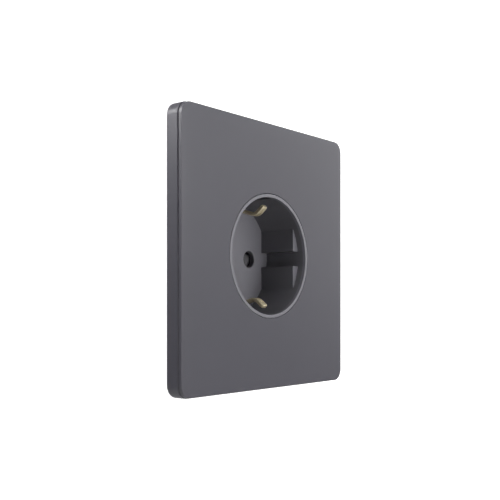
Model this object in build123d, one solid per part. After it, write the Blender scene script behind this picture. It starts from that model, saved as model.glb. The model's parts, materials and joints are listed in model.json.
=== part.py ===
from build123d import *
import math
import os

# Flush wall socket with a round well, two earth contacts and a turning child shutter.
# Millimetres. X is right, Z is up, the front faces -Y and Y = 0 is the wall surface.

# Cover: a thin front panel on a deeper frame, with a shadow groove between them
panel_width = 82.0
panel_height = 86.0
panel_corner = 3.8
panel_thick = 1.0
panel_edge_round = 0.25
panel_slope_width = 1.7
panel_slope_drop = 0.12
cover_depth = 5.8
frame_overhang = 0.25
frame_edge_round = 0.35
frame_skirt = 2.0
frame_web = 1.6
groove_gap = 0.42
groove_inset = 1.2
peg_radius = 1.5
peg_length = 1.4
peg_from_edge = 7.0
snap_width = 5.0
snap_thick = 1.2
snap_nose = 0.6
snap_spacing = 24.0
frame_rib_thick = 1.0
frame_rib_spacing = 22.0

# Well and its trim ring
well_radius = 19.25
well_depth = 17.3
well_wall = 1.5
well_floor = 2.0
ring_overlap = 0.13
ring_width = 1.0
ring_thick = 1.2
ring_lip_chamfer = 0.05
ring_collar = 0.44
ring_collar_length = 0.6
ring_seam = 0.18
rib_height = 2.95
rib_low = 2.55
rib_high = 10.1
rib_below_front = 3.3
pin_pitch = 19.0
pin_radius = 2.4
pin_length = 19.0
pin_hole_radius = 2.85
pin_hole_edge = 0.2
flange_overhang = 4.5
flange_corner = 6.0
flange_thick = 1.6

# Support plate and its fixing slots
yoke_size = 71.0
yoke_corner = 4.0
yoke_thick = 1.2
box_screw_spacing = 60.0
slot_width = 3.4
slot_length = 7.0
aiming_notch = 1.4

# Base behind the wall surface
base_side_wall = 1.75
base_corner = 9.0
base_rear_wall = 1.7
base_edge_chamfer = 1.0
corner_screw_wall = 3.15

# Earth bracket
earth_thick = 1.15
earth_width = 2.8
earth_strip_width = 7.0
earth_tip_depth = 2.4
earth_tip_inset = 2.7
earth_bend_depth = 6.0
earth_bend_inset = 5.5
earth_floor_inset = 2.1
earth_bend_round = 2.2
earth_corner_round = 1.2
earth_side_room = 0.8
earth_channel_wall = 0.5
earth_groove_width = 0.8
earth_groove_depth = 0.2
earth_tip_chamfer = 0.7

# Shutter: a round pad behind each pin hole, on arms that turn on a central post
shutter_thick = 3.0
shutter_hub = 4.8
shutter_arm = 4.4
pad_radius = 3.8
pad_drop = 0.8
shutter_turn = 38.0
ridge_offset = 2.0
ridge_angle = 59.0
ramp_angle = 22.0
ramp_depth = 2.2
bevel_angle = 9.0
post_radius = 2.0
cage_post_radius = 2.2
cage_post_circle = 11.0
stop_pin_radius = 1.2
cage_thick = 0.8
cage_beyond_pads = 1.0
spring_wire = 0.4
spring_wire_sides = 4
spring_mean_radius = 3.2
spring_turns = 3
spring_pitch = 0.5
spring_corners = 6
spring_bend = 2.6
spring_leg = 4.2
spring_peg_radius = 0.5
spring_peg_height = 3.4
spring_peg_length = 0.9

# Live contacts and screw terminals
contact_thick = 0.7
contact_width = 5.0
contact_mouth = 0.9
contact_mouth_length = 1.6
contact_bend = 0.8
terminal_standoff = 2.5
terminal_plate_height = 10.0
terminal_screw_radius = 1.7
terminal_head_radius = 3.2
terminal_head = 1.8
screw_beyond_plate = 1.6
wire_gap = 2.45
clamp_thick = 1.0
clamp_length = 7.0
clamp_back_room = 1.0
clamp_corner = 0.8
clamp_groove_depth = 0.45
wire_hole_radius = 1.7
wire_funnel = 0.7
wire_spacing = 6.8
clip_width = 3.0
clip_thick = 0.5

# Small screws: core radius, head radius and head height
tap_core = 1.3
tap_head = 2.5
tap_head_height = 1.2
tap_length = 9.0
cage_tap_core = 0.8
cage_tap_head = 1.7
cage_tap_head_height = 1.1
cage_tap_length = 5.0

# Clearances
fit_gap = 0.05
sliding_gap = 0.1
loose_gap = 0.3
thread_gap = 0.02
stop_gap = 0.15
screw_hole_gap = 0.2

# How near two numbers must be for an edge to count as the one meant
same_place = 1e-4

# Planes and places that several pieces share, worked out from the sizes above
front = -cover_depth
panel_back = front + panel_thick
frame_front = panel_back + groove_gap
web_back = panel_back + frame_web
rim = front + ring_thick
floor_front = front + well_depth
floor_back = floor_front + well_floor
cup_radius = well_radius + well_wall
yoke_front = -yoke_thick
flange_front = yoke_front - flange_thick
pin_x = pin_pitch / 2
pin_tip = floor_front + pin_length
shutter_front = floor_back + loose_gap
shutter_back = shutter_front + shutter_thick
spring_start = shutter_back + loose_gap
spring_length = spring_turns * spring_pitch
cage_front = spring_start + spring_length + 2 * spring_wire
cage_back = cage_front + cage_thick
chamber_front = cage_back + loose_gap
earth_strip_y = chamber_front + cage_tap_head_height + loose_gap + earth_thick / 2
contact_web_y = pin_tip + loose_gap + contact_thick / 2
chamber_back = contact_web_y + contact_thick / 2 + sliding_gap
base_back = chamber_back + base_rear_wall
terminal_y = chamber_back - clamp_length / 2 - clamp_back_room
earth_plate_z = -10.35
ring_inner = well_radius - ring_overlap
ring_outer = ring_inner + ring_width
rib_face = well_radius - rib_height
base_size = 2 * (cup_radius + base_side_wall)
flange_size = base_size + 2 * flange_overhang
corner_screw_offset = (cup_radius + corner_screw_wall) / math.sqrt(2)
earth_tip_height = well_radius - earth_tip_inset
earth_bend_height = well_radius - earth_bend_inset
earth_floor_height = well_radius - earth_floor_inset
pad_circle = math.hypot(pin_x, pad_drop)
cage_radius = pad_circle + pad_radius + cage_beyond_pads
terminal_plate_x = pin_x + pin_radius + contact_thick + contact_mouth + terminal_standoff
pad_angle = -math.degrees(math.atan2(pad_drop, pin_x))
spring_peg_x = spring_mean_radius - spring_wire / 2 - stop_gap - spring_peg_radius


def at_depth(y):
    """A plane parallel to the wall, seen from the front: X right, Z up."""
    return Plane(origin=(0, y, 0), x_dir=(1, 0, 0), z_dir=(0, -1, 0))


def slab(outline, y_start, y_end):
    """An outline drawn as seen from the front, made solid between two depths."""
    return extrude(at_depth(y_end) * outline, y_end - y_start)


def disc(radius, y_start, y_end, x=0, z=0):
    return slab(Pos(x, z) * Circle(radius), y_start, y_end)


def block(x_range, y_range, z_range):
    """A box between two corners, given as pairs of limits."""
    sizes = [high - low for low, high in (x_range, y_range, z_range)]
    middle = [(high + low) / 2 for low, high in (x_range, y_range, z_range)]
    return Pos(*middle) * Box(*sizes)


def on_circle(radius, degrees):
    """X and Z of a point, with the angle counted from +X towards +Z."""
    angle = math.radians(degrees)
    return radius * math.cos(angle), radius * math.sin(angle)


def bent_strip(points, bends, width, thick, width_axis):
    """A sheet strip along a centreline of straight runs and tangent bends."""
    path = FilletPolyline(*points, radius=bends)
    section = Plane(origin=path @ 0, x_dir=width_axis, z_dir=path % 0) * Rectangle(width, thick)
    return sweep(section, path=path)


def outer_edges(solid, y, half_width):
    """Edges in the plane Y = y that lie on the outline and not round a hole."""
    flat = [e for e in solid.edges() if abs(e.bounding_box().min.Y - y) < same_place]
    flat = [e for e in flat if abs(e.bounding_box().max.Y - y) < same_place]
    return [e for e in flat if max(abs(e.center().X), abs(e.center().Z)) > half_width]


def make_front_panel():
    """A thin plate whose front slopes off a little towards its outline."""
    outline = RectangleRounded(panel_width, panel_height, panel_corner)
    flat_width = panel_width - 2 * panel_slope_width
    flat_height = panel_height - 2 * panel_slope_width
    flat = RectangleRounded(flat_width, flat_height, panel_corner - panel_slope_width)
    slope_back = front + panel_slope_drop
    panel = slab(outline, slope_back, panel_back)
    panel += loft([at_depth(slope_back) * outline, at_depth(front) * flat])
    panel = fillet(outer_edges(panel, slope_back, ring_outer), panel_edge_round)
    panel -= disc(ring_outer + ring_seam, front, panel_back)
    for x, z in peg_places():
        panel += disc(peg_radius, panel_back, panel_back + peg_length, x, z)
    return panel


def peg_places():
    x = panel_width / 2 - peg_from_edge
    z = panel_height / 2 - peg_from_edge
    return [(side * x, up * z) for side in (-1, 1) for up in (-1, 1)]


def make_cover_frame():
    width = panel_width + 2 * frame_overhang
    height = panel_height + 2 * frame_overhang
    corner = panel_corner + frame_overhang
    outer = slab(RectangleRounded(width, height, corner), frame_front, 0)
    outer = fillet(outer_edges(outer, frame_front, ring_outer), frame_edge_round)
    step_width = panel_width - 2 * groove_inset
    step_height = panel_height - 2 * groove_inset
    step = RectangleRounded(step_width, step_height, panel_corner - groove_inset)
    frame = outer + slab(step, panel_back, frame_front)
    hollow_width = width - 2 * frame_skirt
    hollow_height = height - 2 * frame_skirt
    hollow = RectangleRounded(hollow_width, hollow_height, corner - frame_skirt)
    frame -= slab(hollow, web_back, 0)
    frame += frame_ribs(hollow_width / 2, hollow_height / 2)
    frame -= disc(cup_radius + loose_gap, panel_back, 0)
    for x, z in peg_places():
        frame -= disc(peg_radius + fit_gap, panel_back, web_back, x, z)
    for up in (-1, 1):
        for side in (-1, 1):
            frame += snap_leg(side * snap_spacing / 2, up)
    return frame


def frame_ribs(half_width, half_height):
    """Short stiffening ribs between the skirt and the flange of the well."""
    inner = flange_size / 2 + snap_thick + 2 * loose_gap
    depth = (web_back, yoke_front - loose_gap)
    ribs = []
    for side in (-1, 1):
        for row in (-1, 0, 1):
            z = row * frame_rib_spacing
            z_range = (z - frame_rib_thick / 2, z + frame_rib_thick / 2)
            x_range = sorted((side * inner, side * half_width))
            ribs.append(block(x_range, depth, z_range))
            ribs.append(block(z_range, depth, sorted((side * inner, side * half_height))))
    return ribs


def snap_leg(x, up):
    """A springy leg that hooks behind the edge of the well's flange."""
    inner = flange_size / 2 + sliding_gap
    low = yoke_front - sliding_gap
    leg_range = sorted((up * inner, up * (inner + snap_thick)))
    nose_range = sorted((up * (inner - snap_nose), up * inner))
    half = snap_width / 2
    leg = block((x - half, x + half), (web_back, low), leg_range)
    return leg + block((x - half, x + half), (low - snap_nose, low), nose_range)


def make_well_ring():
    """A ring with a chamfered inner lip and a collar for the groove in the rim."""
    collar_inner = ring_outer - ring_collar
    points = [
        (ring_inner, front),
        (ring_outer, front),
        (ring_outer, rim + ring_collar_length),
        (collar_inner, rim + ring_collar_length),
        (collar_inner, rim),
        (ring_inner, rim),
    ]
    section = make_face(Polyline(*points, close=True))
    lip = [v for v in section.vertices() if v.X < collar_inner and v.Y < rim]
    return revolve(chamfer(lip, ring_lip_chamfer), Axis.Y)


def rib_outline(side, up):
    """One guide rib as seen from the front: a flat chord cut from the round wall."""
    x = side * (rib_face + cup_radius) / 2
    z = up * (rib_low + rib_high) / 2
    bar = Pos(x, z) * Rectangle(cup_radius - rib_face, rib_high - rib_low)
    return bar & Circle(well_radius + well_wall / 2)


def make_socket_cup():
    cup = disc(cup_radius, rim, floor_back)
    cup += slab(RectangleRounded(flange_size, flange_size, flange_corner), flange_front, yoke_front)
    cup -= disc(well_radius, rim, floor_front)
    for side in (-1, 1):
        for up in (-1, 1):
            cup += slab(rib_outline(side, up), front + rib_below_front, floor_front)
    cup -= ring_groove()
    cup -= earth_slots()
    for side in (-1, 1):
        cup -= disc(pin_hole_radius, floor_front, floor_back, side * pin_x)
    rims = [e for e in cup.edges().filter_by(GeomType.CIRCLE) if is_pin_rim(e)]
    cup = chamfer(rims, pin_hole_edge)
    cup -= flange_cuts()
    cup += rear_posts()
    return cup - cage_pilot_holes()


def is_pin_rim(edge):
    same_radius = abs(edge.radius - pin_hole_radius) < same_place
    return same_radius and abs(edge.bounding_box().min.Y - floor_front) < same_place


def ring_groove():
    outer = disc(ring_outer + fit_gap, rim, rim + ring_collar_length + fit_gap)
    inner = disc(ring_outer - ring_collar - fit_gap, rim, rim + ring_collar_length + fit_gap)
    return outer - inner


def earth_slots():
    """Channels at the top and bottom that the earth contacts spring back into."""
    half = earth_width / 2 + earth_side_room
    inner = earth_floor_height - earth_thick / 2 - earth_side_room
    outer = cup_radius - earth_channel_wall
    channels = []
    for up in (-1, 1):
        z_range = sorted((up * inner, up * outer))
        channels.append(block((-half, half), (rim, floor_back), z_range))
    return channels


def corner_places(up):
    """The two corners on one diagonal: up = 1 for the rising one."""
    reach = corner_screw_offset
    return [(-reach, -up * reach), (reach, up * reach)]


def flange_cuts():
    """Countersunk holes, room for the plate's screw heads, and hook notches."""
    cuts = []
    for x, z in corner_places(1):
        cuts.append(disc(tap_core + screw_hole_gap, flange_front, yoke_front, x, z))
        sink = Plane(origin=(x, flange_front, z), x_dir=(1, 0, 0), z_dir=(0, 1, 0))
        cuts.append(sink * countersink(tap_head + fit_gap, tap_core + fit_gap, tap_head_height))
    for x, z in corner_places(-1):
        cuts.append(disc(tap_head + loose_gap, flange_front, yoke_front, x, z))
    edge = flange_size / 2
    depth = (yoke_front - snap_nose - 2 * sliding_gap, yoke_front)
    for up in (-1, 1):
        for side in (-1, 1):
            x = side * snap_spacing / 2
            half = snap_width / 2 + loose_gap
            z_range = sorted((up * (edge - snap_nose), up * edge))
            cuts.append(block((x - half, x + half), depth, z_range))
    return cuts


def countersink(top_radius, bottom_radius, depth):
    """A cone along +Z from the origin, wide end first."""
    return Pos(0, 0, depth / 2) * Cone(top_radius, bottom_radius, depth)


def stop_places(stop_radius, pad_at, direction):
    """Places of the two stops that the pads meet when they stand at an angle."""
    reach = pad_radius + stop_radius + stop_gap
    squares = pad_circle**2 + cage_post_circle**2 - reach**2
    apart = math.degrees(math.acos(squares / (2 * pad_circle * cage_post_circle)))
    return [on_circle(cage_post_circle, pad_at + direction * apart + half) for half in (0, 180)]


def cage_post_places():
    return stop_places(cage_post_radius, pad_angle - shutter_turn, -1)


def stop_pin_places():
    return stop_places(stop_pin_radius, pad_angle, 1)


def rear_posts():
    """The shutter's pivot, the posts of its cage and the stops for its pads."""
    posts = [disc(post_radius, floor_back, cage_front)]
    posts.append(disc(post_radius / 2, cage_front, cage_back))
    for x, z in cage_post_places():
        posts.append(disc(cage_post_radius, floor_back, cage_front, x, z))
    for x, z in stop_pin_places():
        posts.append(disc(stop_pin_radius, floor_back, shutter_back, x, z))
    return posts


def cage_pilot_holes():
    depth = cage_tap_length - cage_thick + loose_gap
    radius = cage_tap_core + thread_gap
    return [disc(radius, cage_front - depth, cage_front, x, z) for x, z in cage_post_places()]


def make_shutter():
    """Hub, arms and pads; each pad has a ramp for the pin and a bevel beyond its ridge."""
    bar = Rot(0, 0, pad_angle) * Rectangle(2 * pad_circle, shutter_arm)
    shutter = slab(bar, shutter_front, shutter_back)
    for turn in (0, 180):
        x, z = on_circle(pad_circle, pad_angle + turn)
        shutter += disc(pad_radius, shutter_front, shutter_back, x, z)
        shutter -= Rot(0, turn, 0) * ramp_cut()
    shutter += disc(shutter_hub, shutter_front, shutter_back)
    peg_end = shutter_back + spring_peg_length
    shutter += disc(spring_peg_radius, shutter_back, peg_end, spring_peg_x, spring_peg_height)
    return shutter - disc(post_radius + fit_gap, shutter_front, shutter_back)


def ramp_cut():
    """What is cut from the front of the right pad, drawn across its ridge."""
    ridge = math.radians(ridge_angle)
    across = (math.sin(ridge), 0, -math.cos(ridge))
    along = (math.cos(ridge), 0, math.sin(ridge))
    before = shutter_front - loose_gap
    ramp_end = ridge_offset - ramp_depth / math.tan(math.radians(ramp_angle))
    bevel_run = pad_radius
    points = [
        (-pad_circle, before),
        (-pad_circle, shutter_front + ramp_depth),
        (ramp_end, shutter_front + ramp_depth),
        (ridge_offset, shutter_front),
        (ridge_offset + bevel_run, shutter_front + bevel_run * math.tan(math.radians(bevel_angle))),
        (ridge_offset + bevel_run, before),
    ]
    section = Plane(origin=(pin_x, 0, 0), x_dir=across, z_dir=along)
    return extrude(section * make_face(Polyline(*points, close=True)), 2 * pad_radius, both=True)


def make_shutter_spring():
    """A torsion spring round the pivot, with a leg for the shutter and one for the cage."""
    step = 360 / spring_corners
    corner_radius = spring_mean_radius / math.cos(math.radians(step / 2))
    rise = spring_pitch / spring_corners
    y = spring_start + spring_wire / 2
    points = [(spring_mean_radius, y, spring_leg)]
    for corner in range(spring_turns * spring_corners):
        x, z = on_circle(corner_radius, -step * (corner + 0.5))
        points.append((x, y + rise * (corner + 0.5), z))
    points.append((spring_mean_radius, y + spring_length, -spring_leg))
    path = FilletPolyline(*points, radius=spring_bend)
    wire = RegularPolygon(spring_wire / 2, spring_wire_sides)
    return sweep(Plane(origin=path @ 0, z_dir=path % 0) * wire, path=path)


def make_shutter_cage():
    cage = disc(cage_radius, cage_front, cage_back)
    peg_start = cage_front - spring_peg_length
    cage += disc(spring_peg_radius, peg_start, cage_front, spring_peg_x, -spring_peg_height)
    for side in (-1, 1):
        cage -= disc(pin_hole_radius + loose_gap, cage_front, cage_back, side * pin_x)
    cage -= disc(post_radius / 2 + fit_gap, cage_front, cage_back)
    for x, z in cage_post_places():
        cage -= disc(cage_tap_core + fit_gap, cage_front, cage_back, x, z)
    return cage


def screw(core, length, head, head_height, countersunk=False):
    """A slotted screw along +Z with the underside of its head at the origin."""
    slot = Box(3 * head, head / 3, head_height / 2)
    if countersunk:
        shank = Pos(0, 0, length / 2) * Cylinder(core, length)
        return countersink(head, core, head_height) + shank - Pos(0, 0, head_height / 4) * slot
    shank = Pos(0, 0, length / 2) * Cylinder(core, length)
    top = Pos(0, 0, -head_height / 2) * Cylinder(head, head_height)
    return top + shank - Pos(0, 0, -head_height * 3 / 4) * slot


def place_screws(shape, places, y, inward=1):
    """Copies of a screw at several places, pointing along +Y or -Y."""
    for x, z in places:
        seat = Plane(origin=(x, y, z), x_dir=(1, 0, 0), z_dir=(0, inward, 0))
        yield seat * shape


def make_cup_screws():
    shape = screw(tap_core, tap_length, tap_head, tap_head_height, countersunk=True)
    return Compound(children=list(place_screws(shape, corner_places(1), flange_front)))


def make_yoke_screws():
    shape = screw(tap_core, tap_length, tap_head, tap_head_height)
    return Compound(children=list(place_screws(shape, corner_places(-1), yoke_front)))


def make_cage_screws():
    shape = screw(cage_tap_core, cage_tap_length, cage_tap_head, cage_tap_head_height)
    return Compound(children=list(place_screws(shape, cage_post_places(), cage_back, -1)))


def make_support_yoke():
    """The steel plate: screw slots on both lines and a notch to aim by in each edge."""
    yoke = slab(RectangleRounded(yoke_size, yoke_size, yoke_corner), yoke_front, 0)
    yoke -= disc(cup_radius + loose_gap, yoke_front, 0)
    reach = box_screw_spacing / 2
    for sign in (-1, 1):
        yoke -= slab(Pos(sign * reach, 0) * SlotOverall(slot_length, slot_width), yoke_front, 0)
        upright = SlotOverall(slot_length, slot_width, rotation=90)
        yoke -= slab(Pos(0, sign * reach) * upright, yoke_front, 0)
        edge = sign * yoke_size / 2
        for x, z in ((edge, 0), (0, edge)):
            notch = Pos(x, z) * Rectangle(aiming_notch, aiming_notch, rotation=45)
            yoke -= slab(notch, yoke_front, 0)
        for x, z in corner_places(sign):
            yoke -= disc(tap_core + screw_hole_gap, yoke_front, 0, x, z)
    return yoke


def make_base_housing():
    outline = RectangleRounded(base_size, base_size, base_corner)
    base = slab(outline, 0, base_back)
    base = chamfer(outer_edges(base, base_back, 0), base_edge_chamfer)
    base -= disc(cup_radius + loose_gap, 0, floor_back + loose_gap)
    base -= disc(cage_radius + loose_gap, floor_back, chamber_front)
    for x, z in cage_post_places():
        reach = chamber_front + cage_tap_head_height
        base -= disc(cage_tap_head + loose_gap, chamber_front, reach, x, z)
    base -= earth_channel()
    for side in (-1, 1):
        base -= contact_chamber(side)
    base -= earth_terminal_chamber()
    for x, z in wire_places():
        base -= disc(wire_hole_radius, chamber_back, base_back, x, z)
        mouth = Plane(origin=(x, base_back, z), x_dir=(1, 0, 0), z_dir=(0, -1, 0))
        base -= mouth * countersink(wire_hole_radius + wire_funnel, wire_hole_radius, wire_funnel)
    for sign in (-1, 1):
        for x, z in corner_places(sign):
            base -= disc(tap_core + thread_gap, 0, tap_length + loose_gap, x, z)
    return base


def earth_channel():
    """Room for the earth strip and for its two arms beside the well."""
    back = earth_strip_y + earth_thick / 2 + sliding_gap
    half = earth_strip_width / 2 + loose_gap
    strip_reach = earth_floor_height + earth_thick / 2 + loose_gap
    strip = block((-half, half), (chamber_front, back), (-strip_reach, strip_reach))
    arm_half = earth_width / 2 + loose_gap
    arms = block((-arm_half, arm_half), (floor_back, back), (-strip_reach, strip_reach))
    return strip + arms


def contact_chamber(side):
    """The pocket of one live contact, open to its screw terminal at the side."""
    low = pin_x - pin_radius - contact_thick - contact_mouth
    high = pin_x + pin_radius + contact_thick + contact_mouth
    half = contact_width / 2 + fit_gap + clip_thick + loose_gap
    x_range = sorted((side * low, side * high))
    pocket = block(x_range, (chamber_front, chamber_back), (-half, half))
    half = contact_width / 2 + loose_gap
    web_y = (contact_web_y - contact_thick / 2 - sliding_gap, chamber_back)
    x_range = sorted((side * high, side * terminal_plate_x))
    passage = block(x_range, web_y, (-half, half))
    wall_x = terminal_plate_x - contact_thick / 2 - loose_gap
    half = terminal_plate_height / 2 + loose_gap
    y_range = (terminal_y - clamp_length / 2 - loose_gap, chamber_back)
    x_range = sorted((side * wall_x, side * base_size / 2))
    terminal = block(x_range, y_range, (-half, half))
    start = Plane(origin=(side * high, terminal_y, 0), z_dir=(side, 0, 0))
    screw_room = start * extrude(Circle(terminal_screw_radius + loose_gap), wall_x - high)
    return pocket + passage + terminal + screw_room


def earth_terminal_chamber():
    half = terminal_plate_height / 2 + loose_gap
    y_range = (earth_strip_y - earth_thick / 2, chamber_back)
    top = earth_plate_z + earth_thick / 2 + screw_beyond_plate + 2 * loose_gap
    return block((-half, half), y_range, (-base_size / 2, top))


def wire_places():
    """Two wire holes behind each terminal, one each side of its screw."""
    centre = terminal_plate_x + contact_thick / 2 + wire_gap / 2
    half = wire_spacing / 2
    places = [(side * centre, up * half) for side in (-1, 1) for up in (-1, 1)]
    earth_centre = earth_plate_z - earth_thick / 2 - wire_gap / 2
    return places + [(-half, earth_centre), (half, earth_centre)]


def earth_arm():
    """The upper arm: a sprung contact with a pressed groove and a chamfered tip."""
    points = [
        (0, front + earth_tip_depth, earth_tip_height),
        (0, front + earth_bend_depth, earth_bend_height),
        (0, floor_front, earth_floor_height),
        (0, earth_strip_y, earth_floor_height),
        (0, earth_strip_y, 0),
    ]
    bends = [earth_bend_round, earth_bend_round, earth_corner_round]
    path = FilletPolyline(*points, radius=bends)
    start = Plane(origin=path @ 0, x_dir=(1, 0, 0), z_dir=path % 0)
    arm = sweep(start * Rectangle(earth_width, earth_thick), path=path)
    tip = [e for e in arm.edges() if e.center().Y < front + earth_tip_depth + earth_thick / 2]
    sides = [e for e in tip if abs(abs(e.center().X) - earth_width / 2) < same_place]
    corners = [e for e in sides if abs(e.length - earth_thick) < same_place]
    arm = chamfer(corners, earth_tip_chamfer)
    front_path = FilletPolyline(*points[:3], radius=earth_bend_round)
    groove = start * Pos(0, earth_thick / 2) * Rectangle(earth_groove_width, 2 * earth_groove_depth)
    return arm - sweep(groove, path=front_path)


def make_earth_bracket():
    """One strip: two contact arms at the well, joined behind the shutter cage."""
    upper = earth_arm()
    bracket = upper + mirror(upper, Plane.XY)
    strip_z = earth_floor_height - earth_corner_round - earth_thick
    strip_y = (earth_strip_y - earth_thick / 2, earth_strip_y + earth_thick / 2)
    wide = earth_strip_width / 2
    bracket += block((-wide, wide), strip_y, (-strip_z, strip_z))
    half_plate = terminal_plate_height / 2
    plate_z = (earth_plate_z - earth_thick / 2, earth_plate_z + earth_thick / 2)
    back = terminal_y + clamp_length / 2
    bracket += block((-half_plate, half_plate), (strip_y[0], back), plate_z)
    bracket += block((-half_plate, half_plate), strip_y, (plate_z[0], plate_z[1] + earth_thick))
    hole = Plane(origin=(0, terminal_y, plate_z[0]), z_dir=(0, 0, 1))
    return bracket - hole * extrude(Circle(terminal_screw_radius + thread_gap), earth_thick)


def make_contact(side):
    """A fork that grips one pin, with a plate bent out to its screw terminal."""
    inner = pin_x - pin_radius - contact_thick / 2
    outer = pin_x + pin_radius + contact_thick / 2
    mouth_y = chamber_front + sliding_gap
    grip_y = mouth_y + contact_mouth_length
    along = (0, 0, 1)
    leaf = [
        (side * (inner - contact_mouth / 2), mouth_y, 0),
        (side * inner, grip_y, 0),
        (side * inner, contact_web_y, 0),
        (side * terminal_plate_x, contact_web_y, 0),
        (side * terminal_plate_x, terminal_y - clamp_length / 2, 0),
    ]
    contact = bent_strip(leaf, contact_bend, contact_width, contact_thick, along)
    outer_leaf = [
        (side * (outer + contact_mouth / 2), mouth_y, 0),
        (side * outer, grip_y, 0),
        (side * outer, contact_web_y, 0),
    ]
    contact += bent_strip(outer_leaf, contact_bend, contact_width, contact_thick, along)
    half = contact_thick / 2
    x_range = sorted((side * (terminal_plate_x - half), side * (terminal_plate_x + half)))
    y_range = (terminal_y - clamp_length / 2, terminal_y + clamp_length / 2)
    high = terminal_plate_height / 2
    contact += block(x_range, y_range, (-high, high))
    hole = Plane(origin=(x_range[0], terminal_y, 0), z_dir=(1, 0, 0))
    return contact - hole * extrude(Circle(terminal_screw_radius + thread_gap), contact_thick)


def make_clamp():
    """A clamp plate in its own frame: screw axis +Z, wire grooves along Y underneath."""
    plate = Pos(0, 0, -clamp_thick / 2) * Box(terminal_plate_height, clamp_length, clamp_thick)
    plate = chamfer(plate.edges().filter_by(Axis.Z), clamp_corner)
    plate -= Cylinder(terminal_screw_radius + screw_hole_gap, 3 * clamp_thick)
    width = clamp_groove_depth * math.sqrt(2)
    for side in (-1, 1):
        groove = Pos(side * wire_spacing / 2, 0, 0) * Rot(0, 45, 0)
        plate -= groove * Box(width, 2 * clamp_length, width)
    return plate


def terminal_seats():
    """The inner face of each clamp: its plane's Z points inwards along the screw."""
    x = terminal_plate_x + contact_thick / 2 + wire_gap
    z = earth_plate_z - earth_thick / 2 - wire_gap
    return {
        "line": Plane(origin=(-x, terminal_y, 0), x_dir=(0, 0, 1), z_dir=(1, 0, 0)),
        "neutral": Plane(origin=(x, terminal_y, 0), x_dir=(0, 0, 1), z_dir=(-1, 0, 0)),
        "earth": Plane(origin=(0, terminal_y, z), x_dir=(1, 0, 0), z_dir=(0, 0, 1)),
    }


def make_terminal_screw():
    reach = clamp_thick + wire_gap + earth_thick + screw_beyond_plate
    shape = screw(terminal_screw_radius, reach, terminal_head_radius, terminal_head)
    return Pos(0, 0, -clamp_thick) * shape


def make_spring_clip(side):
    """A steel clip round the fork that keeps its two leaves pressed on the pin."""
    inside = pin_radius + contact_thick + fit_gap
    outside = inside + clip_thick
    high = contact_width / 2 + fit_gap
    outline = Rectangle(2 * outside, 2 * (high + clip_thick)) - Rectangle(2 * inside, 2 * high)
    outline -= Pos(0, high) * Rectangle(pin_radius, 3 * clip_thick)
    start = chamber_front + sliding_gap + 2 * contact_mouth_length
    return slab(Pos(side * pin_x, 0) * outline, start, start + clip_width)


seats = terminal_seats()
parts = {
    "front_panel": make_front_panel(),
    "cover_frame": make_cover_frame(),
    "well_ring": make_well_ring(),
    "socket_cup": make_socket_cup(),
    "shutter": make_shutter(),
    "shutter_spring": make_shutter_spring(),
    "shutter_cage": make_shutter_cage(),
    "cage_screws": make_cage_screws(),
    "support_yoke": make_support_yoke(),
    "cup_screws": make_cup_screws(),
    "yoke_screws": make_yoke_screws(),
    "base_housing": make_base_housing(),
    "earth_bracket": make_earth_bracket(),
    "line_contact": make_contact(-1),
    "neutral_contact": make_contact(1),
    "line_spring_clip": make_spring_clip(-1),
    "neutral_spring_clip": make_spring_clip(1),
}
for pole, seat in seats.items():
    parts[pole + "_clamp"] = seat * make_clamp()
    parts[pole + "_terminal_screw"] = seat * make_terminal_screw()

os.makedirs("parts", exist_ok=True)
for name, shape in parts.items():
    export_step(shape, f"parts/{name}.step")
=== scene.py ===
import json
import math

import bmesh
import bpy
from mathutils import Matrix, Vector


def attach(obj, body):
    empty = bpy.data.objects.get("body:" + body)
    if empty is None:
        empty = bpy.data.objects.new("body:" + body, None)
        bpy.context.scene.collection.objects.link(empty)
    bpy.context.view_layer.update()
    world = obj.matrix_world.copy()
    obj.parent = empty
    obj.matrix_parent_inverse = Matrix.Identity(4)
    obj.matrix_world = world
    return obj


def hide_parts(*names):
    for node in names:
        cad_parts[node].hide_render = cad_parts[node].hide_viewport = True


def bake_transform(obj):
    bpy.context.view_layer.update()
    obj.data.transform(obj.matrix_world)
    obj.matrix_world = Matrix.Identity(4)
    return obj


# Looks of a flush wall socket. Metres; X is right, Z is up and the front faces -Y. Sizes of the
# drawn pieces are in millimetres, and MM turns them into metres.
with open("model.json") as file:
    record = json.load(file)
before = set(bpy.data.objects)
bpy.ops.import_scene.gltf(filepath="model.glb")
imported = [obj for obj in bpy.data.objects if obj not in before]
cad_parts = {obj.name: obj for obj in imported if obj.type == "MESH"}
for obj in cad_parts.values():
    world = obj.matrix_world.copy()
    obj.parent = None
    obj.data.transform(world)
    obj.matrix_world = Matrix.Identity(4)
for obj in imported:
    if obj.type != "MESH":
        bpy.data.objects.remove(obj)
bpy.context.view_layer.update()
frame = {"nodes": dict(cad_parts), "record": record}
NODES = frame["nodes"]
SLOTS = {sub["node"]: sub["material_slot"] for sub in frame["record"]["subparts"]}
HOUSING = "housing"
SHUTTER = "shutter"
MM = 0.001


def add_object(name, data):
    thing = bpy.data.objects.new(name, data)
    bpy.context.scene.collection.objects.link(thing)
    return thing


def new_nodes(owner):
    """The emptied node tree of a world or material."""
    owner.use_nodes = True
    owner.node_tree.nodes.clear()
    return owner.node_tree.nodes, owner.node_tree.links


# Camera: level, on the left of the socket, with the view window raised a little
CAMERA_PLACE = (-0.2018, -0.16606, -0.01617)
CAMERA_TURN = 50.03
CAMERA_LENS = 57.02
CAMERA_SHIFT = 0.1116
CAMERA_NEAR = 0.01
SENSOR = 36.0


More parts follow.
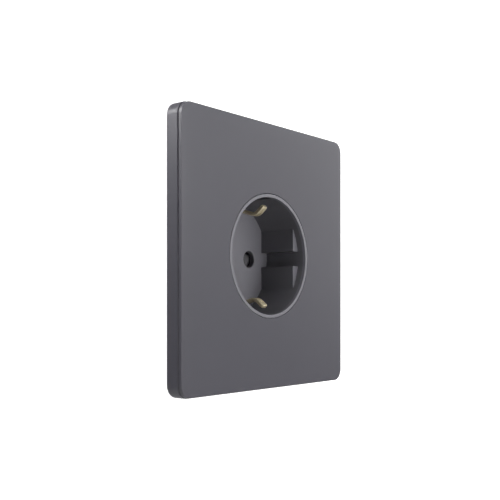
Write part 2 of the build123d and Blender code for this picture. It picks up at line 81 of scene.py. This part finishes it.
def make_camera():
    data = bpy.data.cameras.new("camera")
    data.sensor_width = SENSOR
    data.lens = CAMERA_LENS
    data.shift_y = CAMERA_SHIFT
    data.clip_start = CAMERA_NEAR
    camera = add_object("camera", data)
    camera.location = CAMERA_PLACE
    camera.rotation_euler = (math.radians(90), 0, math.radians(-CAMERA_TURN))
    bpy.context.scene.camera = camera


# Light: soft round lamps that look at the socket's middle (place, size and power of each), and a
# world that is white for the camera and lights the socket only from behind
LAMPS = {
    "front": ((0, -0.6, 0), 0.3, 1.94),
    "front_right": ((0.3, -0.52, 0), 0.3, 0.12),
    "front_above": ((0.25, -0.54, 0.15), 0.2, 0.61),
    "right": ((0.6, -0.1, 0.1), 0.3, 0.58),
    "far_right": ((0.85, -0.31, 0.1), 0.7, 0.8),
    "upper_right": ((0.46, -0.24, 0.3), 0.3, 0.42),
    "near_top": ((0, -0.125, 0.217), 0.2, 0.095),
    "left": ((-0.6, -0.06, 0), 0.3, 0.1),
    "upper_left": ((-0.35, -0.1, 0.5), 0.3, 1.5),
    "behind": ((-0.42, 0.36, 0.24), 0.15, 0.35),
    "near_corner": ((-0.14, 0.06, 0.12), 0.08, 0.21),
}
LAMP_AIM = (0, 0, 0)
WORLD_BEHIND = 0.5
WORLD_BEHIND_FULL = 0.8
WORLD_GLOSS = 0.06
WORLD_SEEN = 1.0


def make_world():
    world = bpy.data.worlds.new("studio")
    bpy.context.scene.world = world
    nodes, links = new_nodes(world)
    place = nodes.new("ShaderNodeTexCoord")
    split = nodes.new("ShaderNodeSeparateXYZ")
    links.new(place.outputs["Generated"], split.inputs[0])
    behind = nodes.new("ShaderNodeMapRange")
    behind.inputs["From Max"].default_value = WORLD_BEHIND_FULL
    behind.inputs["To Max"].default_value = WORLD_BEHIND
    links.new(split.outputs["Y"], behind.inputs["Value"])
    path = nodes.new("ShaderNodeLightPath")
    shine = nodes.new("ShaderNodeMath")
    shine.operation = "MULTIPLY_ADD"
    shine.inputs[1].default_value = WORLD_GLOSS
    links.new(path.outputs["Is Glossy Ray"], shine.inputs[0])
    links.new(behind.outputs[0], shine.inputs[2])
    lit = nodes.new("ShaderNodeBackground")
    links.new(shine.outputs[0], lit.inputs["Strength"])
    seen = nodes.new("ShaderNodeBackground")
    seen.inputs["Strength"].default_value = WORLD_SEEN
    mix = nodes.new("ShaderNodeMixShader")
    links.new(path.outputs["Is Camera Ray"], mix.inputs["Fac"])
    links.new(lit.outputs[0], mix.inputs[1])
    links.new(seen.outputs[0], mix.inputs[2])
    out = nodes.new("ShaderNodeOutputWorld")
    links.new(mix.outputs[0], out.inputs["Surface"])


def make_lamp(name, place, size, power):
    data = bpy.data.lights.new(name, "AREA")
    data.shape = "DISK"
    data.size = size
    data.energy = power
    lamp = add_object(name, data)
    lamp.location = place
    view = Vector(LAMP_AIM) - Vector(place)
    lamp.rotation_euler = view.to_track_quat("-Z", "Y").to_euler()


# Floor and wall: pale sheets that also glow for the camera alone, so that they show as white
SHEET_COLOUR = (0.8, 0.8, 0.8, 1)
FLOOR_HEIGHT = -0.16
FLOOR_SIZE = 6.0
FLOOR_GLOW = 0.55
WALL_HOLE = 34 * MM
WALL_REACH = 3.0
WALL_STEPS = 128
WALL_GLOW = 0.75


def stage_sheet(name, corners, faces, glow_strength):
    """The sheet, with the last shader and the output of its material."""
    mesh = bpy.data.meshes.new(name)
    mesh.from_pydata(corners, [], faces)
    sheet = add_object(name, mesh)
    material = bpy.data.materials.new(name)
    nodes, links = new_nodes(material)
    matt = nodes.new("ShaderNodeBsdfDiffuse")
    matt.inputs["Color"].default_value = SHEET_COLOUR
    glow = nodes.new("ShaderNodeEmission")
    path = nodes.new("ShaderNodeLightPath")
    share = nodes.new("ShaderNodeMath")
    share.operation = "MULTIPLY"
    share.inputs[1].default_value = glow_strength
    links.new(path.outputs["Is Camera Ray"], share.inputs[0])
    links.new(share.outputs[0], glow.inputs["Strength"])
    pale = nodes.new("ShaderNodeAddShader")
    links.new(matt.outputs[0], pale.inputs[0])
    links.new(glow.outputs[0], pale.inputs[1])
    out = nodes.new("ShaderNodeOutputMaterial")
    links.new(pale.outputs[0], out.inputs["Surface"])
    mesh.materials.append(material)
    return sheet, pale, out


def make_floor():
    half = FLOOR_SIZE / 2
    corners = [(-half, -half), (half, -half), (half, half), (-half, half)]
    places = [(x, y, FLOOR_HEIGHT) for x, y in corners]
    stage_sheet("floor", places, [(0, 1, 2, 3)], FLOOR_GLOW)


def make_wall():
    """The wall's surface round the box hole, seen from the room only, so that views from
    behind show the part."""
    inner = []
    outer = []
    for step in range(WALL_STEPS):
        angle = 2 * math.pi * step / WALL_STEPS
        x, z = math.cos(angle), math.sin(angle)
        inner.append((x * WALL_HOLE, 0, z * WALL_HOLE))
        outer.append((x * WALL_REACH, 0, max(z * WALL_REACH, FLOOR_HEIGHT)))
    faces = []
    for step in range(WALL_STEPS):
        after = (step + 1) % WALL_STEPS
        faces.append((step, WALL_STEPS + step, WALL_STEPS + after, after))
    wall, pale, out = stage_sheet("wall", inner + outer, faces, WALL_GLOW)
    wall.visible_diffuse = False
    wall.visible_glossy = False
    wall.visible_transmission = False
    wall.visible_shadow = False
    tree = wall.data.materials[0].node_tree
    side = tree.nodes.new("ShaderNodeNewGeometry")
    clear = tree.nodes.new("ShaderNodeBsdfTransparent")
    mix = tree.nodes.new("ShaderNodeMixShader")
    tree.links.new(side.outputs["Backfacing"], mix.inputs["Fac"])
    tree.links.new(pale.outputs[0], mix.inputs[1])
    tree.links.new(clear.outputs[0], mix.inputs[2])
    tree.links.new(mix.outputs[0], out.inputs["Surface"])


# Materials: fine bump, slight changes of colour and gloss by object place, and painted shade
BUMP_STRENGTH = 0.25
BUMP_DEPTH = 0.02
FINE_DETAIL = 3.0
PATCH_SIZE = 9
PATCH_DETAIL = 4.0
GLOSS_CHANGE = 0.04
# Painted shade: faces that look forward keep their colour, and faces that look aside are darkened
LOOKS_FORWARD = -0.9
LOOKS_ASIDE = -0.3


def surface(
    name, colour, roughness, metallic=0.0, shine=0.5, grain=0.25, change=0.04, crystals=0,
    painted_wall_shade=1.0
):
    """Grain is the size of the fine bump in millimetres, and change the share by which the
    colour varies. Crystals gives the size in millimetres of flat zinc crystals instead of soft
    patches. Painted wall shade is painted shade: the share of the colour kept on faces that look
    aside, such as the walls of the well, while faces that look forward keep all of it."""
    material = bpy.data.materials.new(name)
    nodes, links = new_nodes(material)
    shader = nodes.new("ShaderNodeBsdfPrincipled")
    shader.inputs["Metallic"].default_value = metallic
    shader.inputs["Specular IOR Level"].default_value = shine
    place = nodes.new("ShaderNodeTexCoord")
    fine = nodes.new("ShaderNodeTexNoise")
    fine.inputs["Scale"].default_value = 1 / (grain * MM)
    fine.inputs["Detail"].default_value = FINE_DETAIL
    links.new(place.outputs["Object"], fine.inputs["Vector"])
    bump = nodes.new("ShaderNodeBump")
    bump.inputs["Strength"].default_value = BUMP_STRENGTH
    bump.inputs["Distance"].default_value = BUMP_DEPTH * MM
    links.new(fine.outputs[0], bump.inputs["Height"])
    links.new(bump.outputs[0], shader.inputs["Normal"])
    if crystals:
        wide = nodes.new("ShaderNodeTexVoronoi")
        patches = wide.outputs["Color"]
    else:
        wide = nodes.new("ShaderNodeTexNoise")
        wide.inputs["Detail"].default_value = PATCH_DETAIL
        patches = wide.outputs[0]
    wide.inputs["Scale"].default_value = 1 / ((crystals or PATCH_SIZE) * MM)
    links.new(place.outputs["Object"], wide.inputs["Vector"])
    tint = nodes.new("ShaderNodeMix")
    tint.data_type = "RGBA"
    tint.inputs["A"].default_value = (*[c * (1 - change) for c in colour], 1)
    tint.inputs["B"].default_value = (*[c * (1 + change) for c in colour], 1)
    links.new(patches, tint.inputs["Factor"])
    # Painted shade: the colour is darkened on faces that look aside from the front, such as the
    # well's walls
    facing = nodes.new("ShaderNodeSeparateXYZ")
    links.new(place.outputs["Normal"], facing.inputs[0])
    painted_shade_ramp = nodes.new("ShaderNodeMapRange")
    painted_shade_ramp.inputs["From Min"].default_value = LOOKS_FORWARD
    painted_shade_ramp.inputs["From Max"].default_value = LOOKS_ASIDE
    painted_shade_ramp.inputs["To Min"].default_value = 1.0
    painted_shade_ramp.inputs["To Max"].default_value = painted_wall_shade
    links.new(facing.outputs["Y"], painted_shade_ramp.inputs["Value"])
    shade = nodes.new("ShaderNodeVectorMath")
    shade.operation = "SCALE"
    links.new(tint.outputs["Result"], shade.inputs[0])
    links.new(painted_shade_ramp.outputs[0], shade.inputs["Scale"])
    links.new(shade.outputs["Vector"], shader.inputs["Base Color"])
    gloss = nodes.new("ShaderNodeMapRange")
    gloss.inputs["To Min"].default_value = roughness - GLOSS_CHANGE
    gloss.inputs["To Max"].default_value = roughness + GLOSS_CHANGE
    links.new(fine.outputs[0], gloss.inputs["Value"])
    links.new(gloss.outputs[0], shader.inputs["Roughness"])
    out = nodes.new("ShaderNodeOutputMaterial")
    links.new(shader.outputs[0], out.inputs["Surface"])
    return material


MATERIALS = {
    "cover_plastic": surface("cover_plastic", (0.049, 0.047, 0.061), 0.38, shine=0.7),
    "ring_plastic": surface("ring_plastic", (0.14, 0.137, 0.156), 0.38, shine=0.85),
    # The well's walls get painted shade, at half the colour of its floor
    "well_plastic": surface("well_plastic", (0.157, 0.154, 0.174), 0.36, shine=1.0, painted_wall_shade=0.5),
    "shutter_plastic": surface("shutter_plastic", (0.045, 0.044, 0.05), 0.4),
    "cage_plastic": surface("cage_plastic", (0.6, 0.6, 0.57), 0.45),
    "base_plastic": surface("base_plastic", (0.5, 0.5, 0.49), 0.5),
    "yoke_steel": surface(
        "yoke_steel", (0.55, 0.56, 0.57), 0.35, metallic=1.0, grain=1.5, change=0.12, crystals=2.5
    ),
    "screw_steel": surface("screw_steel", (0.6, 0.6, 0.57), 0.3, metallic=1.0),
    "spring_steel": surface("spring_steel", (0.45, 0.45, 0.46), 0.3, metallic=1.0),
    "clamp_steel": surface("clamp_steel", (0.58, 0.58, 0.56), 0.35, metallic=1.0),
    "earth_brass": surface("earth_brass", (0.68, 0.59, 0.4), 0.35, metallic=0.6),
    "contact_brass": surface("contact_brass", (0.6, 0.46, 0.26), 0.55, metallic=0.7),
}


def add_piece(name, mesh, node, body=HOUSING):
    """A piece that stands for a CAD node, with the node's finish, moving with its body."""
    piece = add_object(name, mesh)
    mesh.materials.clear()
    mesh.materials.append(MATERIALS[SLOTS[node]])
    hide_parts(node)
    if body:
        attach(piece, body)
    return piece


# Meshes drawn row by row
def add_row(work, points):
    return [work.verts.new(Vector(point) * MM) for point in points]


def join_rows(work, rows, closed=False):
    """A skin over rows of points. A closed one goes on from the last row to the first, and any
    other one gets a cap at each end."""
    for row, after in zip(rows, rows[1:] + rows[:1] if closed else rows[1:]):
        for step in range(len(row)):
            follow = (step + 1) % len(row)
            work.faces.new((row[step], row[follow], after[follow], after[step]))
    if not closed:
        work.faces.new(rows[0])
        work.faces.new(rows[-1])


def smooth_mesh(work, name, sharp_angle):
    bmesh.ops.recalc_face_normals(work, faces=work.faces)
    mesh = bpy.data.meshes.new(name)
    work.to_mesh(mesh)
    work.free()
    mesh.shade_smooth()
    mesh.set_sharp_from_angle(angle=math.radians(sharp_angle))
    return mesh


def stations(path):
    """Each point of a path with the direction in which the path runs there."""
    for index, place in enumerate(path):
        before = path[max(index - 1, 0)]
        after = path[min(index + 1, len(path) - 1)]
        yield place, (after - before).normalized()


# Copies of the rigid parts with softened edges
EDGE_ROUND = 0.12
EDGE_ROUNDS = {
    "well_ring": 0.03,
    "earth_bracket": 0.14,
    "support_yoke": 0.15,
    "base_housing": 0.25,
}
EDGE_SEGMENTS = 2
SHARP_ANGLE = 35
FLAT_ANGLE = 1
FLAT_WEIGHT = 60
WELD_GAP = 1e-7
ARM_CUT = 12.9


def rounded_copy(node, body=HOUSING):
    mesh = NODES[node].data.copy()
    work = bmesh.new()
    work.from_mesh(mesh)
    bmesh.ops.remove_doubles(work, verts=work.verts, dist=WELD_GAP)
    bmesh.ops.dissolve_limit(
        work, angle_limit=math.radians(FLAT_ANGLE), verts=work.verts, edges=work.edges
    )
    if node == "earth_bracket":
        cut_arms_off(work)
    work.to_mesh(mesh)
    work.free()
    mesh.shade_smooth()
    rough = add_object(node + "_rough", mesh)
    bevel = rough.modifiers.new("bevel", "BEVEL")
    bevel.width = EDGE_ROUNDS.get(node, EDGE_ROUND) * MM
    bevel.segments = EDGE_SEGMENTS
    bevel.limit_method = "ANGLE"
    bevel.angle_limit = math.radians(SHARP_ANGLE)
    bevel.miter_outer = "MITER_ARC"
    flats = rough.modifiers.new("flats", "WEIGHTED_NORMAL")
    flats.weight = FLAT_WEIGHT
    view = bpy.context.evaluated_depsgraph_get()
    soft = bpy.data.meshes.new_from_object(rough.evaluated_get(view))
    bpy.data.objects.remove(rough)
    return add_piece(node + "_soft", soft, node, body)


def cut_arms_off(work):
    """Leaves of the earth bracket only what lies behind the well's floor."""
    parts = work.verts[:] + work.edges[:] + work.faces[:]
    cut = bmesh.ops.bisect_plane(
        work, geom=parts, plane_co=(0, ARM_CUT * MM, 0), plane_no=(0, -1, 0), clear_outer=True
    )
    rims = [e for e in cut["geom_cut"] if isinstance(e, bmesh.types.BMEdge)]
    bmesh.ops.holes_fill(work, edges=rims)


# Front panel: one closed skin of loops, from its back edge over the sloped rim to the hole
PANEL_HALF = (41.0, 43.0)
PANEL_CORNER = 3.8
PANEL_FRONT = -5.8
PANEL_BACK = -4.6
PANEL_SLOPE = 1.7
PANEL_DROP = 0.04
PANEL_ROUND = 0.08
PANEL_ROUND_TURN = 84
PANEL_ROUND_STEPS = 6
PANEL_SLOPE_STEPS = 8
PANEL_RIM = 0.15
PANEL_HOLE = 20.3
HOLE_ROUND = 0.1
HOLE_ROUND_STEPS = 3
HOLE_RIM = 0.1
PANEL_SIDE_STEPS = 48
PANEL_CORNER_STEPS = 16
PEG_PLACES = (34.0, 36.0)
PEG_RADIUS = 1.5
PEG_BACK = -3.4
PEG_SUNK = 0.2
PEG_ROUND = 0.2
PEG_ROUND_MIDDLE = 0.06
PEG_STEPS = 32


def rounded_outline(inset):
    """Points of the panel's outline moved inwards, one for each direction."""
    half_x = PANEL_HALF[0] - inset
    half_z = PANEL_HALF[1] - inset
    corner = PANEL_CORNER - inset
    core_x, core_z = half_x - corner, half_z - corner
    points = []
    for side in range(4):
        turn = Matrix.Rotation(side * math.pi / 2, 2)
        reach, half = ((half_x, core_z), (half_z, core_x))[side % 2]
        for step in range(PANEL_SIDE_STEPS):
            along = -half + 2 * half * step / PANEL_SIDE_STEPS
            points.append(turn @ Vector((reach, along)))
        centre = Vector((reach - corner, half))
        for step in range(PANEL_CORNER_STEPS):
            angle = math.pi / 2 * step / PANEL_CORNER_STEPS
            offset = Vector((math.cos(angle), math.sin(angle))) * corner
            points.append(turn @ (centre + offset))
    return points


def panel_profile():
    """Inset and depth of each outline loop, from the back edge to the flat front."""
    profile = [(0.0, PANEL_BACK)]
    centre = PANEL_FRONT + PANEL_DROP + PANEL_ROUND
    for step in range(PANEL_ROUND_STEPS + 1):
        angle = math.radians(PANEL_ROUND_TURN) * step / PANEL_ROUND_STEPS
        inset = PANEL_ROUND * (1 - math.cos(angle))
        profile.append((inset, centre - PANEL_ROUND * math.sin(angle)))
    start_inset, start_y = profile[-1]
    for step in range(1, PANEL_SLOPE_STEPS + 1):
        share = step / PANEL_SLOPE_STEPS
        inset = start_inset + (PANEL_SLOPE - start_inset) * share
        profile.append((inset, PANEL_FRONT + (start_y - PANEL_FRONT) * (1 - share)))
    return profile + [(PANEL_SLOPE + PANEL_RIM, PANEL_FRONT)]


def hole_profile():
    """Radius and depth of each loop of the hole, from the flat front to the back edge."""
    profile = [(PANEL_HOLE + HOLE_ROUND + HOLE_RIM, PANEL_FRONT)]
    for step in range(HOLE_ROUND_STEPS + 1):
        angle = math.pi / 2 * step / HOLE_ROUND_STEPS
        radius = PANEL_HOLE + HOLE_ROUND * (1 - math.sin(angle))
        profile.append((radius, PANEL_FRONT + HOLE_ROUND * (1 - math.cos(angle))))
    return profile + [(PANEL_HOLE, PANEL_BACK)]


def make_front_panel():
    work = bmesh.new()
    rows = []
    for inset, y in panel_profile():
        outline = rounded_outline(inset)
        rows.append(add_row(work, [(x, y, z) for x, z in outline]))
    directions = [point.normalized() for point in outline]
    for radius, y in hole_profile():
        rows.append(add_row(work, [(d.x * radius, y, d.y * radius) for d in directions]))
    join_rows(work, rows, closed=True)
    add_pegs(work)
    mesh = smooth_mesh(work, "front_panel_soft", SHARP_ANGLE)
    add_piece("front_panel_soft", mesh, "front_panel")


def add_pegs(work):
    """The four pegs behind the panel, each with a rounded end."""
    profile = [
        (PEG_RADIUS, PANEL_BACK - PEG_SUNK),
        (PEG_RADIUS, PEG_BACK - PEG_ROUND),
        (PEG_RADIUS - PEG_ROUND_MIDDLE, PEG_BACK - PEG_ROUND_MIDDLE),
        (PEG_RADIUS - PEG_ROUND, PEG_BACK),
    ]
    turns = [2 * math.pi * step / PEG_STEPS for step in range(PEG_STEPS)]
    for side in (-1, 1):
        for up in (-1, 1):
            x, z = side * PEG_PLACES[0], up * PEG_PLACES[1]
            rows = []
            for radius, y in profile:
                points = [(x + radius * math.cos(t), y, z + radius * math.sin(t)) for t in turns]
                rows.append(add_row(work, points))
            join_rows(work, rows)


# Earth arms: sprung strips with rounded edges and a rounded tip, and a pressed groove that
# starts behind the tip. Places are (depth, height).
ARM_HALF_WIDTH = 1.25
ARM_HALF_THICK = 0.575
ARM_EDGE = 0.12
ARM_EDGE_STEPS = 3
ARM_GROOVE = 0.25
ARM_GROOVE_HALF = 0.5
ARM_GROOVE_FLOOR_HALF = 0.3
ARM_GROOVE_START = 1.3
ARM_GROOVE_RUN = 0.4
ARM_TIP_LENGTH = 0.8
ARM_TIP_WIDTH_SHARE = 0.6
ARM_TIP_THICK_SHARE = 0.85
ARM_FIRST_STATIONS = (0, 0.06, 0.2, 0.4, 0.8, 1.3, 1.7)
ARM_TIP = (-3.1, 16.5)
ARM_BEND = (0.2, 13.75)
ARM_FLOOR = (11.5, 17.15)
ARM_END = (13.4, 17.15)
ARM_BEND_ROUND = 3.2
ARM_BEND_STEPS = 10
ARM_SHARP_ANGLE = 50


def arm_profile():
    """The strip's section as (across, up) before the groove is pressed into both faces."""
    face = ARM_HALF_THICK
    quarter = [(ARM_GROOVE_FLOOR_HALF, face), (ARM_GROOVE_HALF, face)]
    for step in range(ARM_EDGE_STEPS + 1):
        angle = math.pi / 2 * step / ARM_EDGE_STEPS
        across = ARM_HALF_WIDTH - ARM_EDGE + ARM_EDGE * math.sin(angle)
        quarter.append((across, face - ARM_EDGE + ARM_EDGE * math.cos(angle)))
    half = quarter + [(across, -up) for across, up in reversed(quarter)]
    return half + [(-across, up) for across, up in reversed(half)]


def arm_section(profile, from_tip):
    """The section at a distance from the tip: smaller at the tip, grooved further on."""
    reach = min(from_tip / ARM_TIP_LENGTH, 1)
    swell = math.sqrt(1 - (1 - reach) ** 2)
    narrow = ARM_TIP_WIDTH_SHARE + (1 - ARM_TIP_WIDTH_SHARE) * swell
    thin = ARM_TIP_THICK_SHARE + (1 - ARM_TIP_THICK_SHARE) * swell
    groove = ARM_GROOVE * min(max(from_tip - ARM_GROOVE_START, 0) / ARM_GROOVE_RUN, 1)
    section = []
    for across, up in profile:
        if abs(across) < ARM_GROOVE_HALF:
            up = math.copysign(ARM_HALF_THICK - groove, up)
        section.append((across * narrow, up * thin))
    return section


def arm_path():
    """Points from the tip over the rounded bends into the floor."""
    tip, bend, floor, end = (Vector(p) for p in (ARM_TIP, ARM_BEND, ARM_FLOOR, ARM_END))
    first = (bend - tip).normalized()
    points = [tip + first * reach for reach in ARM_FIRST_STATIONS]
    for corner, before, after in ((bend, tip, floor), (floor, bend, end)):
        back = (before - corner).normalized()
        ahead = (after - corner).normalized()
        half_turn = (math.pi - back.angle(ahead)) / 2
        tangent = ARM_BEND_ROUND * math.tan(half_turn)
        middle = corner + (back + ahead).normalized() * ARM_BEND_ROUND / math.cos(half_turn)
        start = corner + back * tangent - middle
        finish = corner + ahead * tangent - middle
        for step in range(ARM_BEND_STEPS + 1):
            spread = start.lerp(finish, step / ARM_BEND_STEPS).normalized() * ARM_BEND_ROUND
            points.append(middle + spread)
    return points + [end]


def make_earth_arms():
    profile = arm_profile()
    path = arm_path()
    work = bmesh.new()
    for upright in (1, -1):
        rows = []
        for place, along in stations(path):
            points = []
            for across, up in arm_section(profile, (place - path[0]).length):
                depth = place.x - along.y * up
                height = place.y + along.x * up
                points.append((across, depth, upright * height))
            rows.append(add_row(work, points))
        join_rows(work, rows)
    mesh = smooth_mesh(work, "earth_arms_soft", ARM_SHARP_ANGLE)
    add_piece("earth_arms_soft", mesh, "earth_bracket")


# Shutter spring: round wire, three turns and a leg at each end
SPRING_RADIUS = 3.2
SPRING_WIRE = 0.4
SPRING_START = 17.3
SPRING_LENGTH = 1.5
SPRING_TURNS = 3
SPRING_LEG = 4.2
SPRING_SHARP_ANGLE = 60
WIRE_SIDES = 10
TURN_STEPS = 40


def spring_path():
    """Points from the end of the shutter's leg through the turns to the fixed leg's end."""
    path = [Vector((SPRING_RADIUS, SPRING_START, SPRING_LEG))]
    for step in range(SPRING_TURNS * TURN_STEPS + 1):
        share = step / (SPRING_TURNS * TURN_STEPS)
        angle = -2 * math.pi * SPRING_TURNS * share
        y = SPRING_START + SPRING_LENGTH * share
        path.append(Vector((SPRING_RADIUS * math.cos(angle), y, SPRING_RADIUS * math.sin(angle))))
    return path + [Vector((SPRING_RADIUS, SPRING_START + SPRING_LENGTH, -SPRING_LEG))]


def make_spring():
    work = bmesh.new()
    rows = []
    for place, along in stations(spring_path()):
        across = along.cross(Vector((0, 1, 0))).normalized()
        other = along.cross(across)
        points = []
        for side in range(WIRE_SIDES):
            angle = 2 * math.pi * side / WIRE_SIDES
            offset = across * math.cos(angle) + other * math.sin(angle)
            points.append(place + offset * SPRING_WIRE / 2)
        rows.append(add_row(work, points))
    join_rows(work, rows)
    mesh = smooth_mesh(work, "shutter_spring_wire", SPRING_SHARP_ANGLE)
    spring = add_piece("shutter_spring_wire", mesh, "shutter_spring", None)
    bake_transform(spring)


make_camera()
make_world()
for lamp, (place, size, power) in LAMPS.items():
    make_lamp(lamp, place, size, power)
make_floor()
make_wall()
make_front_panel()
make_earth_arms()
make_spring()
for part in SLOTS:
    if part not in ("front_panel", "shutter_spring"):
        rounded_copy(part, SHUTTER if part == "shutter" else HOUSING)

bpy.context.scene.view_settings.view_transform = "Standard"
